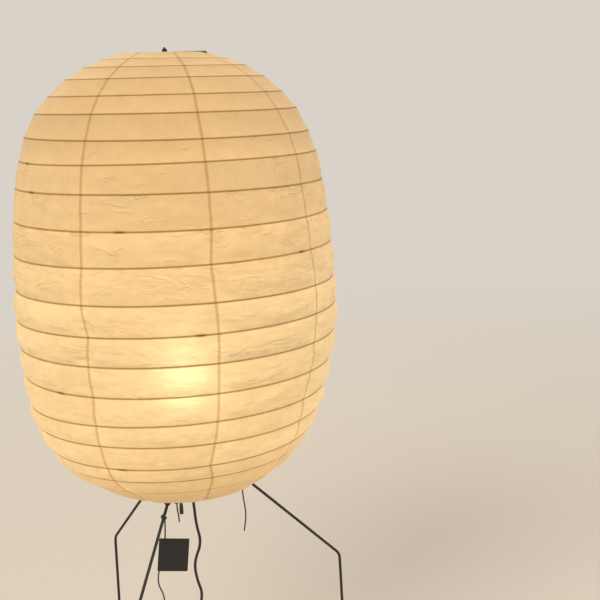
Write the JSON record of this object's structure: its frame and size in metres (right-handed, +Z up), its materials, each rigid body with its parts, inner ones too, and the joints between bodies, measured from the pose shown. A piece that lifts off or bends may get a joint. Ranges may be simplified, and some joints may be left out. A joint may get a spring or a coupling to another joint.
{
  "type": "floor_lamp",
  "caption": "Floor lamp with a tall hooped paper lantern shade on bent black rod legs, with a pull switch, mains cord and plug.",
  "frame": {"origin": "on the floor, in the middle under the three feet", "axes": "+Z up along the lamp's axis, +X and +Y level"},
  "size_m": [0.5292, 0.5292, 1.232],
  "materials": {
    "black_steel": "satin",
    "zinc_steel": "satin",
    "black_rubber": "matte",
    "black_phenolic": "matte",
    "ceramic_insert": "satin",
    "contact_brass": "satin",
    "bulb_glass": "satin",
    "bulb_metal": "satin",
    "washi_paper": "matte",
    "bamboo": "satin",
    "hemp_string": "matte",
    "black_flex": "matte",
    "blade_brass": "satin"
  },
  "bodies": {
    "root": {"leg_a": "black_steel", "leg_b": "black_steel", "leg_c": "black_steel", "hub": "black_steel", "stem_tube": "black_steel", "stem_nut": "black_steel", "cord_grip": "black_steel", "harp_saddle": "black_steel", "harp_wire": "black_steel", "harp_boss": "black_steel", "top_bar": "black_steel", "top_ring": "black_steel", "bottom_ring": "black_steel", "grub_screws": "zinc_steel", "foot_caps": "black_rubber", "holder_cap": "black_phenolic", "holder_shell": "black_phenolic", "square_tag": "black_phenolic", "switch_block": "ceramic_insert", "holder_insert": "ceramic_insert", "screw_sleeve": "contact_brass", "centre_contact": "contact_brass", "paper_shade": "washi_paper", "hoop_01": "bamboo", "hoop_02": "bamboo", "hoop_03": "bamboo", "hoop_04": "bamboo", "hoop_05": "bamboo", "hoop_06": "bamboo", "hoop_07": "bamboo", "hoop_08": "bamboo", "hoop_09": "bamboo", "hoop_10": "bamboo", "hoop_11": "bamboo", "hoop_12": "bamboo", "hoop_13": "bamboo", "hoop_14": "bamboo", "hoop_15": "bamboo", "hoop_16": "bamboo", "hoop_17": "bamboo", "hoop_18": "bamboo", "hoop_19": "bamboo", "ring_lashings": "hemp_string", "tail_a": "hemp_string", "tail_c": "hemp_string", "tag_hitch": "hemp_string", "tag_string": "hemp_string", "tag_knot": "hemp_string", "mains_cord": "black_flex", "mains_coil": "black_flex", "plug_body": "black_flex", "coil_tie": "black_flex", "plug_blades": "blade_brass"},
    "bulb": {"bulb_glass": "bulb_glass", "bulb_cap": "bulb_metal", "bulb_contact": "contact_brass"},
    "pull": {"switch_lever": "contact_brass", "pull_wire": "contact_brass", "pull_knob": "black_phenolic"},
    "finial": {"finial_nut": "black_steel"}
  },
  "joints": [
    {"name": "bulb_turn", "type": "hinge", "parent": "root", "child": "bulb", "pos_m": [0, 0, 0.64], "axis": [0, 0, 1], "continuous": true},
    {"name": "pull_switch", "type": "slide", "parent": "root", "child": "pull", "axis": [0, 0, -1], "range_m": [0, 0.008], "stiffness_N_per_m": 200},
    {"name": "finial_turn", "type": "hinge", "parent": "root", "child": "finial", "pos_m": [0, 0, 1.227], "axis": [0, 0, 1], "continuous": true}
  ]
}
